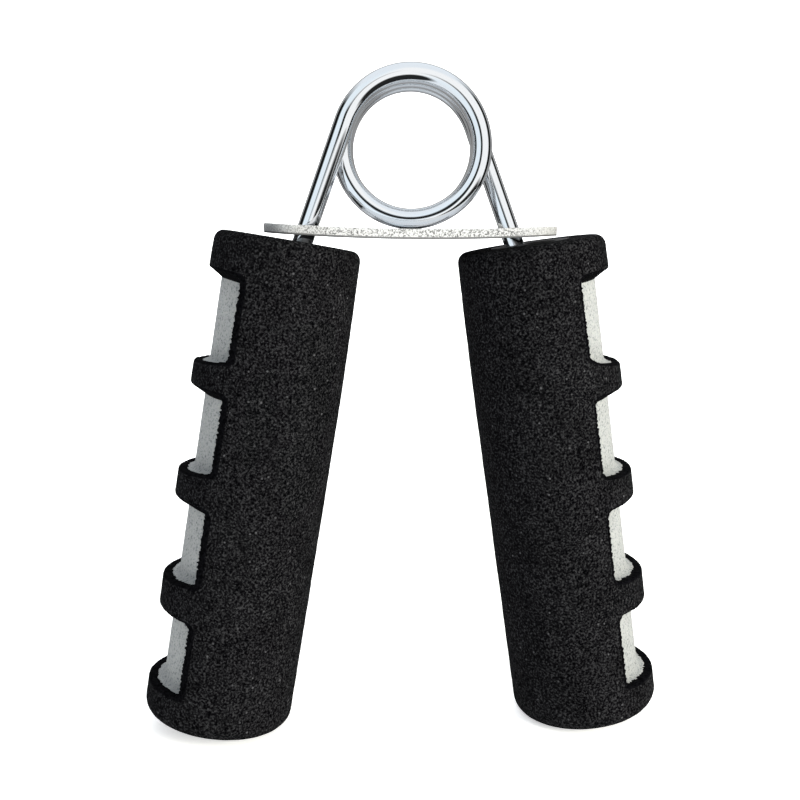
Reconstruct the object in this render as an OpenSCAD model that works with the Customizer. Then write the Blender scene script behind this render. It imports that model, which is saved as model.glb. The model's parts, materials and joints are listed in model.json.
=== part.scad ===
// Hand grip strengthener: a torsion spring between two foam handles, with a
// slotted plate that stops the spring from opening any further.
// Upright, with the coil at the top. X is left to right, Y front to back.
// The origin is below the coil, at the level of the lowest foam edge.
// The right half is drawn, and half a turn about Z gives the left half.

/* [Spring] */
// Diameter of the spring wire
wire_d = 3.8; // [3.4:0.1:3.8]
// Radius from the coil's centre to the middle of the wire
coil_r = 13; // [12.6:0.1:13.2]
// Distance along the coil from one turn to the next
coil_pitch = 5; // [5:0.1:5.4]
// Angle of each leg from the vertical
leg_angle = 20; // [19:0.5:21]
// Length of each leg inside its handle, below the bend
leg_reach = 62; // [40:1:66]

/* [Handles] */
// Diameter of the black foam
handle_d = 29; // [29:0.5:30]
// Length of each handle along its own axis
handle_l = 95; // [95:1:98]
// Sideways tilt of each handle
handle_tilt = 8.9; // [8.5:0.1:9.3]
// Lean of each handle out of the spring's plane
handle_lean = 1.5; // [1:0.1:2]
// Sideways distance from the coil's centre to the middle of a handle's top
handle_x = 23; // [22.8:0.1:23.6]
// Distance behind the coil's centre of the right handle's top
handle_y = 1; // [0.6:0.1:1.4]
// Drop from the coil's centre to the middle of a handle's top
handle_drop = 17.3; // [17.3:0.1:17.8]
// Rounding of the handle's top edge
top_round = 2; // [1:0.5:2.5]
// Rounding of the handle's bottom edge
bottom_round = 2.5; // [1:0.5:2.5]

/* [Foam] */
// Thickness of the black foam, which is also the depth of a finger notch
skin_t = 3; // [2.5:0.1:3.5]
// Thickness of the black foam over the top of the core
skin_top_t = 3; // [2.5:0.5:4]
// Thickness of the black foam under the core
skin_bottom_t = 4; // [3:0.5:5]
// Number of finger notches on each handle
notch_count = 4; // [4:1:4]
// Angle that each notch spans around the handle
notch_arc = 125; // [110:1:130]
// Distance from the handle's top to the first notch
notch_start = 7; // [6:0.5:8]
// Distance from the bottom of one notch to the bottom of the next
notch_pitch = 21.1; // [20.9:0.1:21.1]
// Distance from the handle's top to the bottom of the first notch
notch_end = 24.9; // [24.5:0.1:25]
// Width of the first foam ridge between two notches
ridge_w = 4.6; // [4.2:0.1:5]
// How much wider each lower ridge is than the one above it
ridge_growth = 0.8; // [0:0.1:1.2]
// Slope of the wall at the upper end of a notch
notch_slope = 32; // [20:1:35]
// Height and width of the grey foam's flare at the lower end of a notch
flare = 1.4; // [1:0.1:1.8]

/* [Core] */
// Diameter of the hard core inside each handle
core_d = 15; // [14.5:0.5:16]
// Space between the leg and the core's bore, all round
bore_gap = 0.05; // [0.03:0.01:0.1]

/* [Plate] */
// Length of the stop plate
plate_l = 55.4; // [54.6:0.2:55.8]
// Width of the stop plate
plate_w = 17; // [16.5:0.5:18]
// Thickness of the stop plate
plate_t = 1.8; // [1.5:0.1:1.8]
// Height of the plate's ends above its middle, from the bow
plate_bow = 0.9; // [0.8:0.1:1.1]
// Width of each leg slot
slot_w = 4.9; // [4.8:0.1:5.1]
// Space between a leg and the outer end of its slot
slot_gap = 0.3; // [0.3:0.05:0.4]

/* [Motion] */
// Angle that the handles close through together
close_angle = 22; // [15:1:22]
// Space left between the coil's end and the top of each leg
joint_gap = 0.5; // [0.5:0.05:0.6]

/* [Hidden] */
$fn = 96;

// Spring: the coil runs from the left leg over the top and ends at the right leg.
coil_sweep = 900 - 2 * leg_angle;
coil_end_y = coil_pitch * coil_sweep / 720;
coil_steps_per_turn = 42;
coil_sides = 16;

bend_bulge = 0.1;

// Where the right leg leaves the coil, with the coil's centre as the origin.
tangent_pt = [coil_r * cos(leg_angle), coil_end_y, coil_r * sin(leg_angle)];

// Where the line of the right leg meets the handle's axis.
corner_drop = (handle_x - tangent_pt.x - tan(leg_angle) * tangent_pt.z
               - tan(handle_tilt) * handle_drop) / (tan(leg_angle) - tan(handle_tilt));
corner_pt = [tangent_pt.x + tan(leg_angle) * (corner_drop + tangent_pt.z),
             handle_y + (corner_drop - handle_drop) * tan(handle_lean) / cos(handle_tilt),
             -corner_drop];
bend_depth = (corner_drop - handle_drop) / (cos(handle_tilt) * cos(handle_lean));

// Height of the coil's centre above the lowest point of the foam.
handle_r = handle_d / 2;
total_tilt = acos(cos(handle_tilt) * cos(handle_lean));
coil_z = handle_drop + handle_l * cos(total_tilt)
         + (handle_r - bottom_round) * sin(total_tilt) + bottom_round * (1 - cos(total_tilt));

// Foam
core_r = core_d / 2;
floor_r = handle_r - skin_t;
cavity_l = handle_l - skin_top_t - skin_bottom_t;
cut_over = 2;
root_t = 0.5;

// Plate: the leg crosses it at this part of the way down from the coil.
plate_top_drop = coil_r + wire_d / 2 + 0.05;
plate_mid_drop = plate_top_drop + plate_t / 2;
leg_share = (tangent_pt.z + plate_mid_drop) / (tangent_pt.z + corner_drop);
leg_at_plate = tangent_pt + leg_share * (corner_pt - tangent_pt);
leg_half_x = wire_d / 2 / cos(leg_angle) + plate_t / 2 * tan(leg_angle);
closed_angle = leg_angle - close_angle / 2;
closed_x = coil_r * cos(closed_angle)
           + tan(closed_angle) * (plate_mid_drop + coil_r * sin(closed_angle));
slot_out = leg_at_plate.x + leg_half_x + slot_gap;
slot_in = closed_x - leg_half_x - slot_gap;
plate_corner_r = 7;
bow_r = (pow(plate_l / 2, 2) + pow(plate_bow, 2)) / (2 * plate_bow);

function coil_angle(s) = 180 - leg_angle - s;
function coil_point(s) = [coil_r * cos(coil_angle(s)),
                          -coil_end_y + coil_pitch * s / 360,
                          coil_r * sin(coil_angle(s))];
function coil_out(s) = [cos(coil_angle(s)), 0, sin(coil_angle(s))];
function coil_side(s) =
    let (rise = atan(coil_pitch / (2 * PI * coil_r)), a = coil_angle(s))
    [-sin(a) * sin(rise), cos(rise), cos(a) * sin(rise)];

// Puts the right handle's frame in place: origin at the middle of its top face,
// Z up along its axis and X outwards.
module right_handle_frame() {
    translate([corner_pt.x, corner_pt.y, corner_pt.z + coil_z])
        rotate([handle_lean, -handle_tilt, 0])
            translate([0, 0, bend_depth])
                children();
}

module left_side() {
    rotate([0, 0, 180]) children();
}

module rod(a, b, d) {
    v = b - a;
    translate(a)
        rotate([0, acos(v.z / norm(v)), atan2(v.y, v.x)])
            cylinder(d = d, h = norm(v));
}

// Leg with a chosen diameter, in the object's frame: straight to the bend, then
// down the handle's axis. A slightly larger ball closes the bend.
module leg_solid(d, extra = 0) {
    translate([0, 0, coil_z]) {
        rod(tangent_pt, corner_pt, d);
        translate(corner_pt) sphere(d = d + bend_bulge);
    }
    right_handle_frame()
        translate([0, 0, -bend_depth - leg_reach - extra])
            cylinder(d = d, h = leg_reach + extra);
}

module right_leg() {
    color("silver") leg_solid(wire_d);
}

module spring_coil() {
    gap_angle = joint_gap / coil_r * 180 / PI;
    sweep = coil_sweep - 2 * gap_angle;
    rings = ceil(sweep / 360 * coil_steps_per_turn);
    points = [for (i = [0:rings]) let (s = gap_angle + sweep * i / rings)
              for (k = [0:coil_sides - 1]) let (q = 360 * k / coil_sides)
              coil_point(s) + wire_d / 2 * (cos(q) * coil_out(s) + sin(q) * coil_side(s))];
    walls = [for (i = [0:rings - 1]) for (k = [0:coil_sides - 1])
             let (a = i * coil_sides + k, b = i * coil_sides + (k + 1) % coil_sides)
             [a, b, b + coil_sides, a + coil_sides]];
    first = [for (k = [coil_sides - 1:-1:0]) k];
    last = [for (k = [0:coil_sides - 1]) rings * coil_sides + k];
    color("silver")
        translate([0, 0, coil_z])
            polyhedron(points, concat([first], walls, [last]));
}

// Outline of the plate, seen from above.
module plate_outline() {
    inner_x = plate_l / 2 - plate_corner_r;
    inner_y = plate_w / 2 - plate_corner_r;
    square([2 * inner_x, plate_w], center = true);
    square([plate_l, 2 * inner_y], center = true);
    for (x = [-inner_x, inner_x]) for (y = [-inner_y, inner_y])
        translate([x, y]) circle(r = plate_corner_r);
}

module leg_slot() {
    slot_r = slot_w / 2;
    translate([slot_in, leg_at_plate.y - slot_r]) square([slot_out - slot_in, slot_w]);
}

// Thin bowed strip: the plate's outline cut from a curved shell.
module stop_plate() {
    color("gainsboro")
        translate([0, 0, coil_z - plate_top_drop - plate_t])
            intersection() {
                translate([0, 0, -plate_t]) linear_extrude(4 * plate_t)
                    difference() {
                        plate_outline();
                        leg_slot();
                        rotate(180) leg_slot();
                    }
                translate([0, plate_w, bow_r + plate_t]) rotate([90, 0, 0])
                    difference() {
                        cylinder(r = bow_r + plate_t, h = 2 * plate_w, $fn = 360);
                        translate([0, 0, -1])
                            cylinder(r = bow_r, h = 2 * plate_w + 2, $fn = 360);
                    }
            }
}

module right_core() {
    color("dimgray")
        difference() {
            right_handle_frame()
                translate([0, 0, -skin_top_t - cavity_l])
                    cylinder(d = core_d, h = cavity_l + skin_top_t);
            leg_solid(wire_d + 2 * bore_gap, extra = 0.2);
        }
}

// Distances from the handle's top to the two ends of notch i.
function notch_top(i) = i == 0 ? notch_start
                      : notch_bottom(i - 1) + ridge_w + ridge_growth * (i - 1);
function notch_bottom(i) = notch_end + notch_pitch * i;

// Grey flare at the lower end of a notch: a ring with a hollow face, rooted a
// little way inside the grey sleeve.
module flare_ring(i) {
    hollow = 0.35 * flare;
    root_rise = root_t * (flare - hollow) / hollow;
    translate([0, 0, -notch_bottom(i)])
        rotate([0, 0, -notch_arc / 2])
            rotate_extrude(angle = notch_arc)
                polygon([[floor_r - root_t, 0],
                         [floor_r + flare, 0],
                         [floor_r + hollow, hollow],
                         [floor_r - root_t, flare + root_rise]]);
}

module right_grey_foam() {
    color("darkgray")
        right_handle_frame() {
            translate([0, 0, -skin_top_t - cavity_l])
                difference() {
                    cylinder(r = floor_r, h = cavity_l);
                    translate([0, 0, -1]) cylinder(d = core_d, h = cavity_l + 2);
                }
            for (i = [0:notch_count - 1]) flare_ring(i);
        }
}

// Half outline of the black foam: rounded at its outer edges.
module skin_profile() {
    difference() {
        union() {
            translate([0, -handle_l + bottom_round])
                square([handle_r, handle_l - bottom_round - top_round]);
            translate([0, -handle_l]) square([handle_r - bottom_round, bottom_round]);
            translate([0, -top_round]) square([handle_r - top_round, top_round]);
            translate([handle_r - top_round, -top_round]) circle(r = top_round);
            translate([handle_r - bottom_round, -handle_l + bottom_round])
                circle(r = bottom_round);
        }
        translate([0, -skin_top_t - cavity_l]) square([floor_r, cavity_l]);
        translate([0, -skin_top_t - 1]) square([core_r, skin_top_t + 2]);
    }
}

// Space that one finger notch takes out of the black foam. It runs past the
// foam's outer and inner faces, and its upper wall slopes.
module notch_cut(i) {
    rise_out = cut_over * tan(notch_slope);
    drop_in = (skin_t + root_t) * tan(notch_slope);
    rotate([0, 0, -notch_arc / 2])
        rotate_extrude(angle = notch_arc)
            polygon([[floor_r - root_t, -notch_bottom(i)],
                     [handle_r + cut_over, -notch_bottom(i)],
                     [handle_r + cut_over, -notch_top(i) + rise_out],
                     [floor_r - root_t, -notch_top(i) - drop_in]]);
}

module right_black_foam() {
    color("#202124")
        right_handle_frame()
            difference() {
                rotate_extrude() skin_profile();
                for (i = [0:notch_count - 1]) notch_cut(i);
            }
}

spring_coil();
left_side() right_leg();  // leg_left
right_leg();  // leg_right
stop_plate();
left_side() right_core();  // core_left
right_core();  // core_right
left_side() right_grey_foam();  // grey_foam_left
right_grey_foam();  // grey_foam_right
left_side() right_black_foam();  // black_foam_left
right_black_foam();  // black_foam_right
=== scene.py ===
"""Looks for the hand grip strengthener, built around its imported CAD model.

The handles' places come from the record's mounts. The heights of the spring and the
plate come from the CAD coil's box. Shapes are worked out in millimetres and written in
metres.
"""

import json
import math

import bmesh
import bpy
import numpy as np
from mathutils import Matrix, Vector, noise
from mathutils.geometry import delaunay_2d_cdt


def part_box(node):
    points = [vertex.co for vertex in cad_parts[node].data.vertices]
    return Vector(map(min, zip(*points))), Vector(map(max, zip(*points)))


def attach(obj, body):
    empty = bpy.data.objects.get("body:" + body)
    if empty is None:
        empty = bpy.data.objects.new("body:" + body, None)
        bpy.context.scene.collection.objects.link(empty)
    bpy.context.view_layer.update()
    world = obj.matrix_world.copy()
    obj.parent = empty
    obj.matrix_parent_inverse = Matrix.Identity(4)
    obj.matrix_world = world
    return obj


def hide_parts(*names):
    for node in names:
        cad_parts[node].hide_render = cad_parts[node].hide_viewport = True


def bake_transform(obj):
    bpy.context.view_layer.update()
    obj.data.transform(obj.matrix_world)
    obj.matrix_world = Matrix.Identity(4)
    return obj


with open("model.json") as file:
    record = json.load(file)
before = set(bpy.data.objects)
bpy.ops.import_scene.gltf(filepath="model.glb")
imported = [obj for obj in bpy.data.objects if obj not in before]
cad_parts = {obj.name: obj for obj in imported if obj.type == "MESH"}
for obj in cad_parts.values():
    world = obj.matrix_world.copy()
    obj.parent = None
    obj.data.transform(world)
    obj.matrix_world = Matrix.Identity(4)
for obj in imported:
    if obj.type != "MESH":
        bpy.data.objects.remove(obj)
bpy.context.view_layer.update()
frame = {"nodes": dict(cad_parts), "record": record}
record = frame["record"]

MM = 0.001

# Sizes of the CAD part, in millimetres, with angles in radians
COIL_R = 13.0
COIL_PITCH = 5.0
WIRE_R = 1.9
LEG_ANGLE = math.radians(20)
COIL_SWEEP = math.radians(900) - 2 * LEG_ANGLE
LEG_REACH = 62.0
BEND_DEPTH = 13.78
HANDLE_L = 95.0
HANDLE_R = 14.5
FLOOR_R = 11.5
CORE_R = 7.5
SKIN_TOP = 3.0
SKIN_BOTTOM = 4.0
TOP_ROUND = 2.0
BOTTOM_ROUND = 2.5
NOTCH_START = 7.0
NOTCH_ENDS = [24.9, 46.0, 67.1, 88.2]
FLARE = 1.4
PLATE_L = 55.4
PLATE_W = 17.0
PLATE_T = 1.8
PLATE_BOW = 0.9
PLATE_CORNER = 7.0
PLATE_CLEARANCE = 0.05
CLOSE_ANGLE = math.radians(22)

# Shapes that follow the photograph more closely than the CAD part does
NOTCH_SLOPE = math.tan(math.radians(26))
RIDGES = [4.6, 5.3, 6.1]
NOTCH_TOPS = [NOTCH_START] + [end + ridge for end, ridge in zip(NOTCH_ENDS, RIDGES)]

coil_low, coil_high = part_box("spring_coil")
COIL_Z = (coil_low.z + coil_high.z) / 2 / MM


# ---------------------------------------------------------------- mesh helpers

def make_object(name, verts, faces, materials, face_slots=None, weld=None):
    """A mesh object from points in metres. weld joins points closer than that, in mm."""
    mesh = bpy.data.meshes.new(name)
    mesh.from_pydata([tuple(v) for v in verts], [], faces)
    for material in materials:
        mesh.materials.append(material)
    if face_slots is not None:
        mesh.polygons.foreach_set("material_index", face_slots)
    obj = bpy.data.objects.new(name, mesh)
    bpy.context.scene.collection.objects.link(obj)
    work = bmesh.new()
    work.from_mesh(mesh)
    if weld is not None:
        bmesh.ops.remove_doubles(work, verts=work.verts, dist=weld * MM)
    bmesh.ops.recalc_face_normals(work, faces=work.faces)
    work.to_mesh(mesh)
    work.free()
    mesh.polygons.foreach_set("use_smooth", [True] * len(mesh.polygons))
    mesh.update()
    return obj


class Shape:
    """Points and faces collected before they become one mesh."""

    def __init__(self):
        self.verts = []
        self.faces = []
        self.slots = []

    def add(self, points):
        first = len(self.verts)
        self.verts.extend(points)
        return list(range(first, len(self.verts)))

    def face(self, corners, slot=0):
        self.faces.append(tuple(corners))
        self.slots.append(slot)

    def strip(self, ring_a, ring_b, slot=0):
        """Quads between two closed rings of the same number of points."""
        count = len(ring_a)
        for k in range(count):
            after = (k + 1) % count
            self.face((ring_a[k], ring_a[after], ring_b[after], ring_b[k]), slot)

    def fan(self, ring, centre):
        """Triangles from a closed ring to one point."""
        for k in range(len(ring)):
            self.face((ring[k], ring[(k + 1) % len(ring)], centre))


def wobble(x, y, z, scale, seed=0.0):
    """Smooth noise of about -1 to 1 at a place in mm, with bumps about `scale` mm wide."""
    return noise.noise(Vector((x / scale + seed, y / scale - seed, z / scale)))


def resample(points, step):
    """A closed 2D loop with points about `step` apart."""
    out = []
    for a, b in zip(points, points[1:] + points[:1]):
        parts = max(1, round(math.dist(a, b) / step))
        for k in range(parts):
            share = k / parts
            out.append((a[0] + (b[0] - a[0]) * share, a[1] + (b[1] - a[1]) * share))
    return out


def arc(cx, cy, radius, start, end, parts=6):
    """Points of a 2D arc, angles in degrees."""
    return [(cx + radius * math.cos(math.radians(start + (end - start) * k / parts)),
             cy + radius * math.sin(math.radians(start + (end - start) * k / parts)))
            for k in range(parts + 1)]


def loop_normals(loop):
    """Unit normals of a closed loop, pointing away from its inside."""
    points = np.array(loop)
    along = np.roll(points, -1, 0) - np.roll(points, 1, 0)
    normal = np.stack([along[:, 1], -along[:, 0]], 1)
    normal /= np.linalg.norm(normal, axis=1)[:, None]
    area = np.sum(points[:, 0] * np.roll(points[:, 1], -1) - np.roll(points[:, 0], -1) * points[:, 1])
    return normal if area > 0 else -normal


def inside(points, loop):
    """Which 2D points lie inside a closed loop."""
    x, y = points[:, 0], points[:, 1]
    hits = np.zeros(len(points), bool)
    for (x0, y0), (x1, y1) in zip(loop, loop[1:] + loop[:1]):
        if y0 == y1:
            continue
        crosses = (y0 > y) != (y1 > y)
        hits ^= crosses & (x < (x1 - x0) * (y - y0) / (y1 - y0) + x0)
    return hits


def triangulate(points, loops):
    """Triangles over 2D points. loops are lists of point numbers, kept as edges.

    Returns the triangles in the numbers of the points given.
    """
    edges = [(a, b) for loop in loops for a, b in zip(loop, loop[1:] + loop[:1])]
    _, _, faces, origin, _, _ = delaunay_2d_cdt(
        [Vector(p) for p in points], edges, [], 0, 1e-6, True)
    number = [ids[0] for ids in origin]
    return [tuple(number[v] for v in f) for f in faces]


# ---------------------------------------------------------------- materials

def add_math(nodes, links, operation, *values):
    """A Math node's output. Each value is a socket or a number."""
    made = nodes.new("ShaderNodeMath")
    made.operation = operation
    for socket, value in zip(made.inputs, values):
        if isinstance(value, float):
            socket.default_value = value
        else:
            links.new(value, socket)
    return made.outputs["Value"]


def add_mix(nodes, links, blend, factor, first, second):
    """A colour Mix node's output. Each value is a socket, or a number or colour."""
    made = nodes.new("ShaderNodeMix")
    made.data_type = "RGBA"
    made.blend_type = blend
    for name, value in (("Factor", factor), ("A", first), ("B", second)):
        if isinstance(value, (float, tuple)):
            made.inputs[name].default_value = value
        else:
            links.new(value, made.inputs[name])
    return made.outputs["Result"]


def new_material(name):
    material = bpy.data.materials.new(name)
    material.use_nodes = True
    nodes = material.node_tree.nodes
    return material, nodes, material.node_tree.links, nodes["Principled BSDF"]


def add_node(nodes, kind, **values):
    """A node with its inputs set by name."""
    made = nodes.new(kind)
    for name, value in values.items():
        made.inputs[name.replace("_", " ")].default_value = value
    return made


def ramp(nodes, stops):
    """A colour ramp from (place, grey or colour) pairs."""
    made = nodes.new("ShaderNodeValToRGB")
    elements = made.color_ramp.elements
    while len(elements) < len(stops):
        elements.new(0.5)
    for element, (place, value) in zip(elements, stops):
        element.position = place
        colour = value if isinstance(value, tuple) else (value, value, value)
        element.color = (*colour, 1)
    return made


def foam_material(name, tones, grain, bump, roughness, mottle=0.0, painted_glints=None):
    """Closed-cell foam: small cells in colour and bump, with slow mottling.

    tones is the colour of the cells from dark to light. The last argument is the colour of
    sparse dots painted bright into the colour: painted glints, where cells would catch the light.
    """
    material, nodes, links, shader = new_material(name)
    place = nodes.new("ShaderNodeTexCoord")
    cells = add_node(nodes, "ShaderNodeTexNoise", Scale=1 / (grain * MM), Detail=2.0, Roughness=0.6)
    slow = add_node(nodes, "ShaderNodeTexNoise", Scale=1 / (6 * MM), Detail=2.0)
    spread = ramp(nodes, tones)
    links.new(place.outputs["Object"], cells.inputs["Vector"])
    links.new(place.outputs["Object"], slow.inputs["Vector"])
    links.new(cells.outputs["Fac"], spread.inputs["Fac"])
    colour = spread.outputs["Color"]
    if mottle:
        shade = ramp(nodes, [(0.3, 1 - mottle), (0.7, 1.0)])
        links.new(slow.outputs["Fac"], shade.inputs["Fac"])
        colour = add_mix(nodes, links, "MULTIPLY", 1.0, colour, shade.outputs["Color"])
    # painted glints: sparse bright dots painted into the colour
    if painted_glints:
        colour = add_painted_glints(nodes, links, place, colour, painted_glints)
    links.new(colour, shader.inputs["Base Color"])
    relief = add_node(nodes, "ShaderNodeBump", Strength=bump, Distance=0.25 * MM)
    links.new(cells.outputs["Fac"], relief.inputs["Height"])
    links.new(relief.outputs["Normal"], shader.inputs["Normal"])
    shader.inputs["Roughness"].default_value = roughness
    return material, shader


def add_painted_glints(nodes, links, place, colour, bright):
    """Painted glints: sparse small bright dots painted over a colour, where cells would catch the light."""
    dots = add_node(nodes, "ShaderNodeTexVoronoi", Scale=1 / (1.15 * MM), Randomness=1.0)
    links.new(place.outputs["Object"], dots.inputs["Vector"])
    near = ramp(nodes, [(0.10, 1.0), (0.24, 0.0)])
    links.new(dots.outputs["Distance"], near.inputs["Fac"])
    split = nodes.new("ShaderNodeSeparateColor")
    links.new(dots.outputs["Color"], split.inputs["Color"])
    chosen = ramp(nodes, [(0.78, 0.0), (1.0, 0.8)])
    links.new(split.outputs["Red"], chosen.inputs["Fac"])
    glint_mask = add_math(nodes, links, "MULTIPLY", near.outputs["Color"], chosen.outputs["Color"])
    return add_mix(nodes, links, "MIX", glint_mask, colour, (*bright, 1))


def metal_material(name, colour, roughness, grain, bump):
    material, nodes, links, shader = new_material(name)
    place = nodes.new("ShaderNodeTexCoord")
    texture = add_node(nodes, "ShaderNodeTexNoise", Scale=1 / (grain * MM), Detail=4.0)
    links.new(place.outputs["Object"], texture.inputs["Vector"])
    gloss = ramp(nodes, [(0.35, roughness * 0.8), (0.75, roughness * 1.35)])
    links.new(texture.outputs["Fac"], gloss.inputs["Fac"])
    links.new(gloss.outputs["Color"], shader.inputs["Roughness"])
    relief = add_node(nodes, "ShaderNodeBump", Strength=bump, Distance=0.05 * MM)
    links.new(texture.outputs["Fac"], relief.inputs["Height"])
    links.new(relief.outputs["Normal"], shader.inputs["Normal"])
    shader.inputs["Metallic"].default_value = 1.0
    shader.inputs["Base Color"].default_value = (*colour, 1)
    return material, nodes, links, shader


# Colour of the stop plate's smooth ends, lighter than the flecked edge: partly their smoother finish,
# partly a painted highlight of the light the rounded ends catch
END_GREY_AND_HIGHLIGHT = (0.5, 0.5, 0.5, 1.0)


def edge_material():
    """Sheared edge of a stamped strip: bright metal with dark torn flecks.

    The flecks fade towards the strip's two rounded ends into a lighter grey: partly because the ends are
    smoother, partly a painted highlight of the light the rounded ends catch.
    """
    material, nodes, links, shader = metal_material(
        "sheared_edge", (0.8, 0.8, 0.8), 0.3, 0.5, 0.5)
    place = nodes.new("ShaderNodeTexCoord")
    flecks = add_node(nodes, "ShaderNodeTexNoise", Scale=1 / (0.28 * MM), Detail=2.0, Roughness=0.6)
    links.new(place.outputs["Object"], flecks.inputs["Vector"])
    tone = ramp(nodes, [(0.38, 0.12), (0.54, 0.62)])
    links.new(flecks.outputs["Fac"], tone.inputs["Fac"])
    split = nodes.new("ShaderNodeSeparateXYZ")
    links.new(place.outputs["Object"], split.inputs["Vector"])
    reach = add_math(nodes, links, "ABSOLUTE", split.outputs["X"])
    ends = add_node(nodes, "ShaderNodeMapRange", From_Min=0.017, From_Max=0.026, To_Max=0.7)
    links.new(reach, ends.inputs["Value"])
    # the ends' lighter grey: smoother metal and painted highlight together
    smooth_and_highlit_ends = add_mix(nodes, links, "MIX", ends.outputs["Result"], tone.outputs["Color"], END_GREY_AND_HIGHLIGHT)
    links.new(smooth_and_highlit_ends, shader.inputs["Base Color"])
    shader.inputs["Metallic"].default_value = 0.15
    return material


def edge_shade_material():
    """Painted shade: a dark material for the lower rim of the stamped edge, where it turns under."""
    material, _, _, shader = metal_material("edge_painted_shade", (0.2, 0.2, 0.2), 0.5, 0.4, 0.6)
    shader.inputs["Metallic"].default_value = 0.3
    return material


# Black foam with painted glints: sparse bright dots painted into its colour where cells would catch the
# light
black_foam, black_shader = foam_material(
    "black_foam", [(0.36, (0.0004, 0.0004, 0.0007)), (0.50, (0.0062, 0.0062, 0.007)),
                   (0.70, (0.034, 0.034, 0.036))],
    0.40, 0.8, 0.95, mottle=0.35, painted_glints=(0.09, 0.09, 0.095))
black_shader.inputs["Specular IOR Level"].default_value = 0.02
# Darker foam for the notches' walls and the rims round their edges: partly the cut foam's own colour,
# partly painted shade in the notches and along their sides
cut_foam_and_shade, cut_and_shade_shader = foam_material(
    "cut_foam_and_shade", [(0.36, (0.0004, 0.0004, 0.0007)), (0.66, (0.004, 0.004, 0.005))], 0.5, 0.4, 0.8)
cut_and_shade_shader.inputs["Specular IOR Level"].default_value = 0.02
grey_foam, grey_shader = foam_material(
    "grey_foam", [(0.32, (0.15, 0.16, 0.168)), (0.44, (0.32, 0.33, 0.33)), (0.70, (0.38, 0.385, 0.375))],
    0.42, 0.7, 0.9, mottle=0.12)
grey_shader.inputs["Specular IOR Level"].default_value = 0.1
chrome, _, _, _ = metal_material("chrome_wire", (0.88, 0.9, 0.92), 0.07, 1.2, 0.05)
plate_metal, _, _, _ = metal_material("plate_metal", (0.82, 0.82, 0.82), 0.2, 0.8, 0.15)
plate_edge = edge_material()
plate_edge_shade = edge_shade_material()
core_plastic, _ = foam_material(
    "core_plastic", [(0.36, (0.012, 0.012, 0.013)), (0.66, (0.016, 0.016, 0.017))], 1.5, 0.1, 0.45)


# ---------------------------------------------------------------- handle frames

def handle_matrix(side):
    """Matrix from a handle's own frame, in mm, to the object's frame, in metres.

    The origin is the middle of the top face, Z goes up the axis and X outwards.
    """
    sign = 1 if side == "right" else -1
    mount = next(m for m in record["mounts"] if m["name"] == side + "_handle_end")
    up = -Vector(mount["axis"]).normalized()
    top = Vector(mount["pos_m"]) + up * HANDLE_L * MM
    out = Vector((0, 1, 0)).cross(up).normalized() * sign
    back = up.cross(out)
    turn = Matrix((out, back, up)).transposed().to_4x4()
    return Matrix.Translation(top) @ turn @ Matrix.Scale(MM, 4)


def on_cylinder(radius, angle, depth):
    return Vector((radius * math.cos(angle), radius * math.sin(angle), -depth))


# ---------------------------------------------------------------- black foam

COLUMNS = 132
LOOP_STEP = 0.3
EDGE_ROUND = 0.45
# The torn edge: fine tears, larger on the upright sides, and slow waves, with their widths
TEAR, SIDE_TEAR, TEAR_WIDTH = 0.16, 0.5, 0.42
WAVE, WAVE_WIDTH = 0.12, 2.2
# Extra width of the dark rim on a notch's upright sides: partly cut edge, partly painted shade, wider on
# the left handle, which the key light from the right does not reach
SIDE_RIM_AND_SHADE = {"left": 1.5, "right": 0.6}
RING_SHARES = (0.0, 0.1, 0.3, 0.6, 1.0)
# Distances between the points of each face's grid, and from the grid to a notch
OUTER_STEP, OUTER_CLEAR = 0.75, 0.4
INNER_STEP, INNER_CLEAR = 1.6, 0.5
NOTCH_HALF = {"left": math.radians(62.3), "right": math.radians(59.5)}
# How far each notch's upper edge lies below the CAD's, how much further it drops and
# how much its lower edge rises towards the notch's sides
NOTCH_LOWERED = {"left": [0.3, 0.0, -0.1, 0.0], "right": [-0.3, 0.0, 0.0, -0.2]}
NOTCH_DROOPS = {"left": [0.5, 0.1, 0.1, 0.1], "right": [0.1, 0.0, 0.1, -0.4]}
NOTCH_RISES = {"left": [1.2, 1.3, 1.0, 0.3], "right": [2.3, 1.1, 1.2, 0.6]}
TOP_TAPER = {"left": 0.6, "right": 0.35}
TOP_FLAT = 10.8
FOAM_LUMPS = 0.05
WALL_LUMPS = 0.04
WALL_SHARES = (0.25, 0.5, 0.75)
OUTER_END = 92.0
TAPER_END = 30.0
INNER_END = HANDLE_L - SKIN_BOTTOM


def notch_top(side, i, angle):
    """Depth of notch i's upper edge on the outer face, at an angle round the handle."""
    share = (1 - math.cos(angle)) / (1 - math.cos(NOTCH_HALF[side]))
    return NOTCH_TOPS[i] + NOTCH_LOWERED[side][i] + NOTCH_DROOPS[side][i] * share


def notch_bottom(side, i, angle):
    """Depth of notch i's lower edge at an angle round the handle."""
    share = (1 - math.cos(angle)) / (1 - math.cos(NOTCH_HALF[side]))
    return NOTCH_ENDS[i] - NOTCH_RISES[side][i] * min(share, 1.15)


def notch_outline(side, i):
    """Smooth outline of notch i on the unrolled outer face: (distance round, depth)."""
    half = NOTCH_HALF[side] * HANDLE_R
    low_r, top_r = 1.2, 1.5
    side_low = notch_bottom(side, i, NOTCH_HALF[side])
    side_top = notch_top(side, i, NOTCH_HALF[side])
    crest = [(u, notch_top(side, i, u / HANDLE_R)) for u in np.linspace(half - top_r, top_r - half, 40)]
    trough = [(u, notch_bottom(side, i, u / HANDLE_R)) for u in np.linspace(low_r - half, half - low_r, 40)]
    outline = arc(half - low_r, side_low - low_r, low_r, 80, 0)
    outline += arc(half - top_r, side_top + top_r, top_r, 0, -80)
    outline += crest[1:-1]
    outline += arc(top_r - half, side_top + top_r, top_r, -100, -180)
    outline += arc(low_r - half, side_low - low_r, low_r, 180, 100)
    outline += trough[1:-1]
    return resample(outline, LOOP_STEP)


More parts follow.
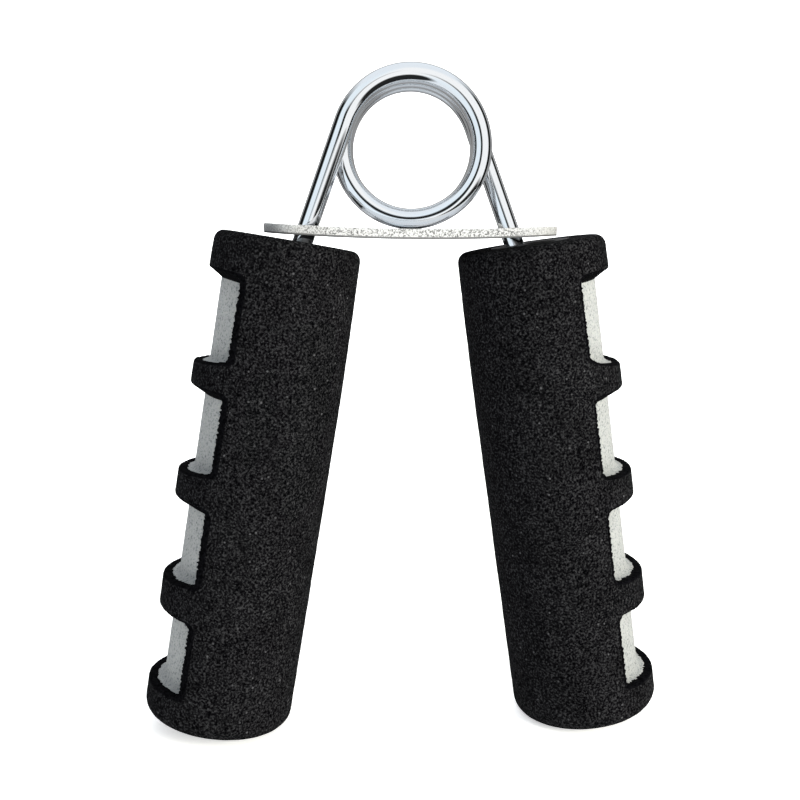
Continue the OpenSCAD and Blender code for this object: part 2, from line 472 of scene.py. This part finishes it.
def notch_rings(side, i, seed):
    """Rings of points round notch i, from its torn edge out to where the face is smooth."""
    loop = notch_outline(side, i)
    normals = loop_normals(loop)
    tears = [(TEAR + SIDE_TEAR * abs(nu)) * wobble(u, s, 0, TEAR_WIDTH, seed)
             + WAVE * wobble(u, s, 5, WAVE_WIDTH, seed)
             for (u, s), (nu, ns) in zip(loop, normals)]
    # the dark rim, partly painted shade, reaches this far from the torn edge
    widths = [EDGE_ROUND + SIDE_RIM_AND_SHADE[side] * nu * nu for nu, ns in normals]
    rings = []
    for share in RING_SHARES:
        ring = []
        for (u, s), (nu, ns), tear, wide in zip(loop, normals, tears, widths):
            distance = share * wide + tear * (1 - share) ** 2
            drop = EDGE_ROUND * (1 + nu * nu) * (1 - math.sqrt(1 - (1 - share) ** 2))
            ring.append((u + nu * distance, s + ns * distance, HANDLE_R - drop))
        rings.append(ring)
    return rings


def inner_place(side, i, u, s):
    """Where a point of notch i's outer outline lands on the inner face."""
    bottom = notch_bottom(side, i, u / HANDLE_R)
    top = notch_top(side, i, u / HANDLE_R)
    share = min(1.0, max(0.0, (bottom - s) / (bottom - top)))
    return u, s + (HANDLE_R - FLOOR_R) * NOTCH_SLOPE * share


def grid_points(columns, first, last, step):
    rows = round((last - first) / step)
    return [(-math.pi * HANDLE_R + 2 * math.pi * HANDLE_R * k / columns,
             first + (last - first) * j / rows)
            for j in range(rows + 1) for k in range(columns + 1)]


def keep_clear(points, loops, clearance):
    """The points that lie outside every loop and not close to one."""
    points = np.array(points)
    keep = np.ones(len(points), bool)
    for loop in loops:
        keep &= ~inside(points, loop)
        for p in loop:
            keep &= np.hypot(points[:, 0] - p[0], points[:, 1] - p[1]) > clearance
    return [tuple(p) for p in points[keep]]


def foam_point(radius, u, s, seed, lumps=0.05, taper=0.0):
    """A point of the foam's outer face, with the slight unevenness of foam.

    taper is how much the radius shrinks at the handle's top.
    """
    angle = u / HANDLE_R
    p = on_cylinder(radius, angle, s)
    push = lumps * wobble(p.x, p.y, p.z, 1.3, seed) + lumps * wobble(p.x, p.y, p.z, 5.0, seed + 3)
    rise = max(0.0, 1 - s / TAPER_END)
    return on_cylinder(radius + push - taper * rise ** 1.5, angle, s)


def lathe(shape, profile, seed, lumps, taper=0.0):
    """Rings of points for each (radius, depth) of a profile, joined by quads.

    The taper grows from nothing on the top's flat middle to its full size at the outer face.
    """
    rings = []
    for radius, depth in profile:
        share = min(1.0, max(0.0, (radius - TOP_FLAT) / (HANDLE_R - TOP_FLAT)))
        points = [foam_point(radius, -math.pi * HANDLE_R + 2 * math.pi * HANDLE_R * k / COLUMNS,
                             depth, seed, lumps, taper * share) for k in range(COLUMNS)]
        rings.append(shape.add(points))
    for a, b in zip(rings, rings[1:]):
        shape.strip(a, b)
    return rings


def fill_face(shape, points, placed, numbers, loops, rim=0):
    """Triangles over a face, leaving out the loops' insides.

    Faces between the first `rim` points take the second material, the darker foam, which is partly painted
    shade.
    """
    triangles = triangulate(points, numbers)
    middles = np.array([[sum(points[v][axis] for v in t) / 3 for axis in (0, 1)] for t in triangles])
    in_hole = np.zeros(len(triangles), bool)
    for loop in loops:
        in_hole |= inside(middles, loop)
    for t, hole in zip(triangles, in_hole):
        if not hole:
            shape.face([placed[v] for v in t], 1 if max(t) < rim else 0)


def outer_face(shape, ring_sets, seed, taper):
    """The outer face, with rings of points that round the notches' edges.

    Returns the numbers of the points along each notch's torn edge.
    """
    edge_loops = [[(u, s) for u, s, _ in rings[0]] for rings in ring_sets]
    clear_loops = [[(u, s) for u, s, _ in rings[-1]] for rings in ring_sets]
    points, numbers = [], []
    for rings in ring_sets:
        numbers.append(list(range(len(points), len(points) + len(rings[0]))))
        for ring in rings:
            points += ring
    rim = len(points)
    grid = keep_clear(grid_points(COLUMNS, SKIN_TOP, OUTER_END, OUTER_STEP), clear_loops,
                      OUTER_CLEAR)
    points += [(u, s, HANDLE_R) for u, s in grid]
    placed = shape.add([foam_point(r, u, s, seed, FOAM_LUMPS, taper) for u, s, r in points])
    fill_face(shape, [(u, s) for u, s, _ in points], placed, numbers, edge_loops, rim)
    return [[placed[n] for n in ring] for ring in numbers]


def inner_face(shape, inner_loops):
    """The inner face, which the grey sleeve fills. Returns the numbers along each loop."""
    points, numbers = [], []
    for loop in inner_loops:
        numbers.append(list(range(len(points), len(points) + len(loop))))
        points += loop
    points += keep_clear(grid_points(COLUMNS, SKIN_TOP, INNER_END, INNER_STEP), inner_loops,
                         INNER_CLEAR)
    placed = shape.add([on_cylinder(FLOOR_R, u / HANDLE_R, s) for u, s in points])
    fill_face(shape, points, placed, numbers, inner_loops)
    return [[placed[n] for n in ring] for ring in numbers]


def notch_wall(shape, edge, outer_ids, inner_loop, inner_ids, seed, taper):
    """The wall of one notch, from its torn edge in to the grey sleeve, in the darker foam that is partly
    painted shade.
    """
    rings = [outer_ids]
    for share in WALL_SHARES:
        row = []
        for (u, s, radius), (v, t) in zip(edge, inner_loop):
            row.append(foam_point(radius * (1 - share) + FLOOR_R * share, u + (v - u) * share,
                                  s + (t - s) * share, seed, WALL_LUMPS, taper * (1 - share)))
        rings.append(shape.add(row))
    rings.append(inner_ids)
    for a, b in zip(rings, rings[1:]):
        shape.strip(a, b, slot=1)


def foam_ends(shape, seed, taper):
    """The top with its hole for the core, and the closed bottom."""
    top_arc = [(x, -y) for x, y in arc(HANDLE_R - TOP_ROUND, -TOP_ROUND, TOP_ROUND, 90, 0, 7)]
    top = [(CORE_R, 0.35), (CORE_R + 0.1, 0.1), (CORE_R + 0.35, 0), (9.2, 0), (TOP_FLAT, 0)]
    over = lathe(shape, top + top_arc + [(HANDLE_R, SKIN_TOP)], seed, FOAM_LUMPS, taper)
    under = lathe(shape, [(FLOOR_R, SKIN_TOP), (9.5, SKIN_TOP), (CORE_R, SKIN_TOP)], seed, 0.0)
    shape.strip(under[-1], over[0])
    low = HANDLE_L - BOTTOM_ROUND
    bottom_arc = [(x, -y) for x, y in arc(HANDLE_R - BOTTOM_ROUND, -low, BOTTOM_ROUND, 0, -90, 8)]
    bottom = [(HANDLE_R, OUTER_END)] + bottom_arc + [(radius, HANDLE_L) for radius in (9.5, 7, 4, 1.5)]
    rings = lathe(shape, bottom, seed, FOAM_LUMPS)
    shape.fan(rings[-1], shape.add([on_cylinder(0, 0, HANDLE_L)])[0])
    rings = lathe(shape, [(radius, INNER_END) for radius in (FLOOR_R, 8, 4, 1.5)], seed, 0.0)
    shape.fan(rings[-1], shape.add([on_cylinder(0, 0, INNER_END)])[0])


def black_foam_piece(side, seed):
    """The outer sleeve: a closed shell of foam with a window for each finger notch."""
    shape = Shape()
    taper = TOP_TAPER[side]
    notches = range(len(NOTCH_ENDS))
    ring_sets = [notch_rings(side, i, seed + i) for i in notches]
    inner_loops = [[inner_place(side, i, u, s) for u, s in notch_outline(side, i)] for i in notches]
    outer_ids = outer_face(shape, ring_sets, seed, taper)
    inner_ids = inner_face(shape, inner_loops)
    for i in notches:
        notch_wall(shape, ring_sets[i][0], outer_ids[i], inner_loops[i], inner_ids[i], seed, taper)
    foam_ends(shape, seed, taper)

    matrix = handle_matrix(side)
    # the second material is the darker foam, partly painted shade
    obj = make_object("foam_grip_" + side, [matrix @ v for v in shape.verts], shape.faces,
                      [black_foam, cut_foam_and_shade], shape.slots, weld=0.004)
    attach(obj, side + "_handle")
    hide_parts("black_foam_" + side)


# ---------------------------------------------------------------- grey foam

def grey_foam_piece(side, seed):
    """The inner sleeve: a tube with a hollow-faced flare at each notch's lower end.

    Its rows of points bend with the notches' lower edges.
    """
    shape = Shape()
    rises = [0.0, 0.04, 0.12, 0.25, 0.42, 0.65, 0.95, 1.3, 1.75, 2.3]
    depths = list(np.arange(SKIN_TOP, INNER_END, 0.9)) + [INNER_END]
    for end in NOTCH_ENDS:
        depths = [d for d in depths if not end - 2.6 < d < end + 0.4]
        depths += [end - rise for rise in rises] + [end + 0.01, end + 0.25]
    depths = sorted(depths)
    columns = 180
    window = NOTCH_HALF[side] + math.radians(2.5)
    rings = []
    for depth in depths:
        row = []
        for k in range(columns):
            angle = -math.pi + 2 * math.pi * k / columns
            radius = FLOOR_R - 0.06
            lift = 0.0
            for i, end in enumerate(NOTCH_ENDS):
                fade = min(1.0, (depth - end + 10) / 7, (end + 3.3 - depth) / 3)
                lift += (end - notch_bottom(side, i, angle)) * max(0.0, fade)
            if abs(angle) < window:
                p = on_cylinder(FLOOR_R, angle, depth - lift)
                radius = FLOOR_R + 0.03 * wobble(p.x, p.y, p.z, 1.0, seed)
                for end in NOTCH_ENDS:
                    rise = end - depth
                    nicks = 0.12 * wobble(p.x, p.y, end, 1.1, seed)
                    waves = 0.12 * wobble(p.x, p.y, end, 3.5, seed)
                    size = FLARE * (1.0 + nicks + waves)
                    if -0.005 < rise < size:
                        radius += size - math.sqrt(size ** 2 - (size - rise) ** 2)
            row.append(on_cylinder(radius, angle, depth - lift))
        rings.append(shape.add(row))
    bore = [shape.add([on_cylinder(CORE_R + 0.02, -math.pi + 2 * math.pi * k / columns, depth)
                       for k in range(columns)]) for depth in (INNER_END - 0.02, SKIN_TOP)]
    rings = rings + bore
    for a, b in zip(rings, rings[1:] + rings[:1]):
        shape.strip(a, b)
    matrix = handle_matrix(side)
    obj = make_object("foam_sleeve_" + side, [matrix @ v for v in shape.verts], shape.faces, [grey_foam])
    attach(obj, side + "_handle")
    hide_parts("grey_foam_" + side)


# ---------------------------------------------------------------- spring

def spring_path():
    """The wire's middle line from the left leg's end to the right leg's, in mm."""
    step = 0.5
    half_sweep = COIL_SWEEP / 2
    count = round(half_sweep * COIL_R / step)
    coil = []
    for k in range(count + 1):
        angle = math.pi / 2 - half_sweep * k / count
        along = COIL_PITCH * half_sweep * k / count / (2 * math.pi)
        coil.append((COIL_R * math.cos(angle), along, COIL_R * math.sin(angle)))
    tangent = np.array(coil[-1])
    matrix = handle_matrix("right")
    bend = np.array(matrix @ Vector((0, 0, -BEND_DEPTH))) / MM - (0, 0, COIL_Z)
    tip = np.array(matrix @ Vector((0, 0, -BEND_DEPTH - LEG_REACH))) / MM - (0, 0, COIL_Z)
    leg = []
    for a, b in ((tangent, bend), (bend, tip)):
        parts = round(np.linalg.norm(b - a) / step)
        leg += [a + (b - a) * k / parts for k in range(1, parts + 1)]
    right = np.array(coil + [tuple(p) for p in leg])
    left = right[:0:-1] * (-1, -1, 1)
    path = np.concatenate([left, right])
    return soften(path, len(coil), len(path))


# Smoothing of the wire, counted in points of its path: how far it reaches, its spread,
# where it starts past the coil, over how many points it grows, and the untouched ends
BLUR_REACH, BLUR_SPREAD = 12, 4.0
LEG_START, LEG_GROWTH = 14, 10
FIXED_ENDS = 10


def soften(path, coil_points, total):
    """Rounds the kinks: sideways all along, and in every direction along the legs."""
    kernel = np.exp(-0.5 * (np.arange(-BLUR_REACH, BLUR_REACH + 1) / BLUR_SPREAD) ** 2)
    kernel /= kernel.sum()
    padded = np.concatenate([np.repeat(path[:1], BLUR_REACH, 0), path,
                             np.repeat(path[-1:], BLUR_REACH, 0)])
    smooth = np.stack([np.convolve(padded[:, axis], kernel, "valid") for axis in range(3)], 1)
    middle = (total - 1) / 2
    reach = np.abs(np.arange(total) - middle)
    leg_share = np.clip((reach - coil_points - LEG_START) / LEG_GROWTH, 0, 1)[:, None]
    out = path * (1 - leg_share) + smooth * leg_share
    out[:, 1] = smooth[:, 1]
    out[:FIXED_ENDS] = path[:FIXED_ENDS]
    out[-FIXED_ENDS:] = path[-FIXED_ENDS:]
    return out


def spring_piece():
    path = spring_path()
    sides = 28
    along = np.gradient(path, axis=0)
    along /= np.linalg.norm(along, axis=1)[:, None]
    normal = np.cross(along[0], (0, 1, 0))
    shape = Shape()
    rings = []
    middle = Vector((0, 0, COIL_Z))
    radii = np.full(len(path), WIRE_R)
    for k, shrink in enumerate((0.45, 0.2, 0.05)):
        radii[k] -= shrink
        radii[-1 - k] -= shrink
    for p, t, radius in zip(path, along, radii):
        normal = normal - t * normal.dot(t)
        normal /= np.linalg.norm(normal)
        other = np.cross(t, normal)
        ring = []
        for k in range(sides):
            turn = 2 * math.pi * k / sides
            out = math.cos(turn) * normal + math.sin(turn) * other
            ring.append((middle + Vector(p + radius * out)) * MM)
        rings.append(shape.add(ring))
    for a, b in zip(rings, rings[1:]):
        shape.strip(a, b)
    for ring, p in ((rings[0], path[0]), (rings[-1], path[-1])):
        shape.fan(ring, shape.add([(middle + Vector(p)) * MM])[0])
    obj = make_object("spring_wire", shape.verts, shape.faces, [chrome])
    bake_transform(obj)
    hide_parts("spring_coil", "leg_left", "leg_right")


# ---------------------------------------------------------------- stop plate

# Half a slot's front-to-back width: 0.25 mm more than the CAD's, so that the wire clears
# the slot's sides when the handles are squeezed
SLOT_HALF_W = 2.7
SLOT_GAP = 0.3
SLOT_CORNER = 0.6
# Distances between the plate's points along its loops and in its grid, and between the two
LOOP_SPACING, GRID_SPACING, GRID_CLEAR = 0.5, 1.1, 0.45
TOP_INSET = 0.22
BOTTOM_INSET = 0.12
# Height above the plate's underside and distance back from its outline, down the edge
EDGE_LEVELS = [(PLATE_T - 0.06, 0.07), (PLATE_T - 0.2, 0.0), (PLATE_T - 0.6, 0.0),
               (0.7, 0.02), (0.3, 0.03), (0.1, 0.06)]


def slot_box():
    """The right leg slot's corners on the plate, in mm, from the part's own rules."""
    tangent = np.array((COIL_R * math.cos(LEG_ANGLE), COIL_PITCH * COIL_SWEEP / (4 * math.pi),
                        COIL_R * math.sin(LEG_ANGLE)))
    bend = np.array(handle_matrix("right") @ Vector((0, 0, -BEND_DEPTH))) / MM - (0, 0, COIL_Z)
    drop = COIL_R + WIRE_R + PLATE_CLEARANCE + PLATE_T / 2
    share = (tangent[2] + drop) / (tangent[2] - bend[2])
    here = tangent + share * (bend - tangent)
    half = WIRE_R / math.cos(LEG_ANGLE) + PLATE_T / 2 * math.tan(LEG_ANGLE) + SLOT_GAP
    closed = LEG_ANGLE - CLOSE_ANGLE / 2
    inner = COIL_R * math.cos(closed) + math.tan(closed) * (drop + COIL_R * math.sin(closed))
    return inner - half, here[0] + half, here[1] - SLOT_HALF_W, here[1] + SLOT_HALF_W


def plate_height(x):
    radius = ((PLATE_L / 2) ** 2 + PLATE_BOW ** 2) / (2 * PLATE_BOW)
    return radius - math.sqrt(radius ** 2 - x ** 2)


def plate_point(x, y, up):
    base = COIL_Z - COIL_R - WIRE_R - PLATE_CLEARANCE - PLATE_T
    return Vector((x, y, base + plate_height(x) + up)) * MM


def plate_loops():
    """The plate's outline and its two slots, as closed loops."""
    corner = PLATE_CORNER
    outline = []
    for sx, sy, start in ((1, 1, 0), (-1, 1, 90), (-1, -1, 180), (1, -1, 270)):
        outline += arc(sx * (PLATE_L / 2 - corner), sy * (PLATE_W / 2 - corner), corner, start,
                       start + 90, 12)
    x0, x1, y0, y1 = slot_box()
    small = SLOT_CORNER
    hole = []
    for cx, cy, start in ((x1 - small, y1 - small, 0), (x0 + small, y1 - small, 90),
                          (x0 + small, y0 + small, 180), (x1 - small, y0 + small, 270)):
        hole += arc(cx, cy, small, start, start + 90, 4)
    other_hole = [(-x, -y) for x, y in hole]
    return [resample(loop, LOOP_SPACING) for loop in (outline, hole, other_hole)]


def metal_normals(loops):
    """Each loop's normals, pointing out of the metal: a slot's point into the slot."""
    return [loop_normals(loop) * (1 if n == 0 else -1) for n, loop in enumerate(loops)]


def in_metal(points, loops):
    """Which 2D points lie inside the first loop and outside the others."""
    return inside(points, loops[0]) & ~inside(points, loops[1]) & ~inside(points, loops[2])


def plate_face(shape, loops, top):
    """The plate's top or bottom face. Returns the numbers of the points along each loop."""
    inset = TOP_INSET if top else BOTTOM_INSET
    points, numbers = [], []
    for loop, normals in zip(loops, metal_normals(loops)):
        ring = [(x - nx * inset, y - ny * inset) for (x, y), (nx, ny) in zip(loop, normals)]
        numbers.append(list(range(len(points), len(points) + len(ring))))
        points += ring
    xs = np.arange(-PLATE_L / 2 + 1, PLATE_L / 2 - 0.5, GRID_SPACING)
    ys = np.arange(-PLATE_W / 2 + 1, PLATE_W / 2 - 0.5, GRID_SPACING)
    grid = np.array([(x, y) for x in xs for y in ys])
    keep = in_metal(grid, loops)
    for ring in numbers:
        for n in ring:
            keep &= np.hypot(grid[:, 0] - points[n][0], grid[:, 1] - points[n][1]) > GRID_CLEAR
    points += [tuple(p) for p in grid[keep]]
    placed = shape.add([plate_point(x, y, PLATE_T if top else 0.0) for x, y in points])
    triangles = triangulate(points, numbers)
    middles = np.array([[sum(points[v][axis] for v in t) / 3 for axis in (0, 1)] for t in triangles])
    keep = in_metal(middles, [[points[n] for n in ring] for ring in numbers])
    for t, good in zip(triangles, keep):
        if good:
            shape.face([placed[v] for v in t], 0)
    return [[placed[n] for n in ring] for ring in numbers]


def plate_edges(shape, loops, top_ids, bottom_ids):
    """The sheared edges between the two faces, rougher near the underside, where the lowest strips are
    darkened with painted shade.
    """
    for n, (loop, normals) in enumerate(zip(loops, metal_normals(loops))):
        rings = [top_ids[n]]
        for height, back in EDGE_LEVELS:
            row = []
            for (x, y), (nx, ny) in zip(loop, normals):
                rough = 0.03 * wobble(x, y, height, 0.5, 9) if height < 1.2 else 0.0
                row.append(plate_point(x - nx * (back + rough), y - ny * (back + rough), height))
            rings.append(shape.add(row))
        rings.append(bottom_ids[n])
        for k, (a, b) in enumerate(zip(rings, rings[1:])):
            # the lowest strips take the painted shade
            shape.strip(a, b, slot=2 if k >= len(rings) - 3 else 1)


def plate_piece():
    """The bowed stop plate with a slot for each leg."""
    shape = Shape()
    loops = plate_loops()
    top_ids = plate_face(shape, loops, True)
    bottom_ids = plate_face(shape, loops, False)
    plate_edges(shape, loops, top_ids, bottom_ids)
    obj = make_object("stop_strip", shape.verts, shape.faces, [plate_metal, plate_edge, plate_edge_shade],
                      shape.slots)
    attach(obj, "spring_middle")
    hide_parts("stop_plate")


# ---------------------------------------------------------------- the object

for side, seed in (("right", 1.7), ("left", 21.3)):
    black_foam_piece(side, seed)
    grey_foam_piece(side, seed + 7)
    core = frame["nodes"]["core_" + side]
    core.data.materials.clear()
    core.data.materials.append(core_plastic)
spring_piece()
plate_piece()


# ---------------------------------------------------------------- studio

def look_matrix(place, yaw, pitch, roll):
    """A camera's or light's matrix: yaw turns right, pitch looks down."""
    forward = Vector((math.sin(yaw) * math.cos(pitch), math.cos(yaw) * math.cos(pitch), -math.sin(pitch)))
    right = forward.cross(Vector((0, 0, 1))).normalized()
    up = right.cross(forward)
    across = right * math.cos(roll) + up * math.sin(roll)
    above = up * math.cos(roll) - right * math.sin(roll)
    turn = Matrix((across, above, -forward)).transposed().to_4x4()
    return Matrix.Translation(place) @ turn


# The camera: its place in mm (sideways, forwards, and below the coil's centre), its
# turns in degrees, and its lens for a 36 mm wide sensor
CAMERA_X, CAMERA_Y, CAMERA_BELOW = -2.02, -190.1, 17.96
CAMERA_YAW, CAMERA_PITCH, CAMERA_ROLL = 0.13, 8.95, 0.65
LENS = 44.2


def make_camera():
    data = bpy.data.cameras.new("camera")
    data.sensor_width = 36
    data.lens = LENS
    data.clip_start = 0.005
    data.clip_end = 20
    camera = bpy.data.objects.new("camera", data)
    bpy.context.scene.collection.objects.link(camera)
    place = Vector((CAMERA_X, CAMERA_Y, COIL_Z - CAMERA_BELOW)) * MM
    camera.matrix_world = look_matrix(place, math.radians(CAMERA_YAW), math.radians(CAMERA_PITCH),
                                      math.radians(CAMERA_ROLL))
    bpy.context.scene.camera = camera


def add_area(name, place, target, size, power, colour=(1, 1, 1)):
    """A rectangular light that mirrors don't show, aimed at a point. Lengths in metres."""
    data = bpy.data.lights.new(name, "AREA")
    data.shape = "RECTANGLE"
    data.size, data.size_y = size
    data.energy = power
    data.color = colour
    light = bpy.data.objects.new(name, data)
    bpy.context.scene.collection.objects.link(light)
    direction = Vector(target) - Vector(place)
    light.visible_glossy = False
    light.matrix_world = Matrix.Translation(place) @ direction.to_track_quat("-Z", "Y").to_matrix().to_4x4()


def make_floor():
    """A pale floor that curves up behind, so that no horizon shows."""
    verts, faces = [], []
    width, depth, rise = 4.0, 2.6, 1.2
    profile = [(-3.0, 0.0), (depth - rise, 0.0)]
    profile += [(depth - rise + rise * math.sin(a), rise - rise * math.cos(a))
                for a in np.linspace(0, math.pi / 2, 17)[1:]]
    profile.append((depth, 4.0))
    for y, z in profile:
        verts += [(-width, y, z), (width, y, z)]
    for k in range(len(profile) - 1):
        faces.append((2 * k, 2 * k + 1, 2 * k + 3, 2 * k + 2))
    material, nodes, links, shader = new_material("studio_floor")
    shader.inputs["Base Color"].default_value = (0.95, 0.95, 0.95, 1)
    shader.inputs["Roughness"].default_value = 0.9
    shader.inputs["Specular IOR Level"].default_value = 0.1
    shader.inputs["Emission Color"].default_value = (1, 1, 1, 1)
    shader.inputs["Emission Strength"].default_value = 0.5
    floor = make_object("studio_floor", verts, faces, [material])
    floor.visible_glossy = False


# Brightness of the surroundings in mirrors and on rough surfaces
MIRRORED_LIGHT = 1.0
SOFT_LIGHT = 0.95
WHITE = (1.0, 1.0, 1.0, 1.0)
CAP_COLOUR = (0.85, 0.9, 0.95, 1.0)
COOL = (0.86, 0.94, 1.0)

# Grey or colour of the walls by heading in degrees, 0 in front, 90 to the right
WALL_TONES = [(-180, 0.55), (-118, 0.5), (-111, 0.01), (-70, 0.01), (-62, COOL), (-10, COOL),
              (6, 1.0), (70, 1.0), (76, 0.01), (102, 0.01), (116, 0.5), (180, 0.55)]
# A narrow dark slit in front, by heading, and where it shows, from 0 below to 1 above
SLIT_TONES = [(-180, 1.0), (-19, 1.0), (-14, 0.02), (1, 0.02), (6, 1.0), (180, 1.0)]
SLIT_HEIGHTS = [(0.38, 1.0), (0.44, 0.0), (0.60, 0.0), (0.68, 1.0)]
# How much of the pale caps shows by height, below and above the walls
CAP_HEIGHTS = [(0.0, 1.0), (0.10, 1.0), (0.22, 0.0), (0.80, 0.0), (0.92, 1.0)]
# A shade behind, a little below the horizon, by how closely a direction points to it
BACK_DIP = math.radians(15)
BACK_WAY = (0.0, math.cos(BACK_DIP), -math.sin(BACK_DIP))
BACK_TONES = [(0.25, 1.0), (0.7, 0.5)]
# A dark patch low in front and to the right
PATCH_WAY = (0.40, -0.42, -0.81)
PATCH_TONES = [(0.78, 1.0), (0.85, 0.02)]


def by_value(nodes, links, value, stops):
    """A ramp's colour for a value."""
    made = ramp(nodes, stops)
    links.new(value, made.inputs["Fac"])
    return made.outputs["Color"]


def by_heading(nodes, links, heading, tones):
    """A ramp's colour for a heading, from (degrees, tone) pairs."""
    return by_value(nodes, links, heading, [((degrees + 180) / 360, tone) for degrees, tone in tones])


def by_way(nodes, links, ray, way, stops):
    """A ramp's colour by how closely a ray's direction points a certain way."""
    made = nodes.new("ShaderNodeVectorMath")
    made.operation = "DOT_PRODUCT"
    links.new(ray, made.inputs[0])
    made.inputs[1].default_value = way
    return by_value(nodes, links, made.outputs["Value"], stops)


def rescale(nodes, links, value, low, high):
    """A value from the range low to high, turned into 0 to 1."""
    made = add_node(nodes, "ShaderNodeMapRange", From_Min=low, From_Max=high)
    links.new(value, made.inputs["Value"])
    return made.outputs["Result"]


def make_world():
    """Soft surroundings that the chrome mirrors: white walls with narrow dark strips at
    the sides and in front, a shade behind and a dark patch low in front.

    The camera itself sees plain white.
    """
    world = bpy.data.worlds.new("studio")
    bpy.context.scene.world = world
    world.use_nodes = True
    nodes, links = world.node_tree.nodes, world.node_tree.links
    background = nodes["Background"]
    ray = nodes.new("ShaderNodeTexCoord").outputs["Generated"]
    split = nodes.new("ShaderNodeSeparateXYZ")
    links.new(ray, split.inputs["Vector"])
    front = add_math(nodes, links, "MULTIPLY", split.outputs["Y"], -1.0)
    turn = add_math(nodes, links, "ARCTAN2", split.outputs["X"], front)
    heading = rescale(nodes, links, turn, -math.pi, math.pi)
    height = rescale(nodes, links, split.outputs["Z"], -1.0, 1.0)

    walls = by_heading(nodes, links, heading, WALL_TONES)
    caps = by_value(nodes, links, height, CAP_HEIGHTS)
    colour = add_mix(nodes, links, "MIX", caps, walls, CAP_COLOUR)
    slit = add_mix(nodes, links, "LIGHTEN", 1.0, by_heading(nodes, links, heading, SLIT_TONES),
                   by_value(nodes, links, height, SLIT_HEIGHTS))
    shade = by_way(nodes, links, ray, BACK_WAY, BACK_TONES)
    patch = by_way(nodes, links, ray, PATCH_WAY, PATCH_TONES)
    for factor in (shade, patch, slit):
        colour = add_mix(nodes, links, "MULTIPLY", 1.0, colour, factor)

    rays = nodes.new("ShaderNodeLightPath")
    seen = add_mix(nodes, links, "MIX", rays.outputs["Is Camera Ray"], colour, WHITE)
    links.new(seen, background.inputs["Color"])
    strength = add_node(nodes, "ShaderNodeMapRange", To_Min=MIRRORED_LIGHT, To_Max=SOFT_LIGHT)
    links.new(rays.outputs["Is Diffuse Ray"], strength.inputs["Value"])
    links.new(strength.outputs["Result"], background.inputs["Strength"])


make_camera()
make_floor()
make_world()
add_area("key", place=(0.75, -0.62, 0.35), target=(0, 0, 0.06), size=(0.35, 0.35), power=13.0,
         colour=(1.0, 0.975, 0.86))
add_area("floor_wash", place=(0.0, 1.1, 1.7), target=(0, 2.2, 0.5), size=(2.0, 1.0), power=40.0)
bpy.context.scene.view_settings.view_transform = "Standard"
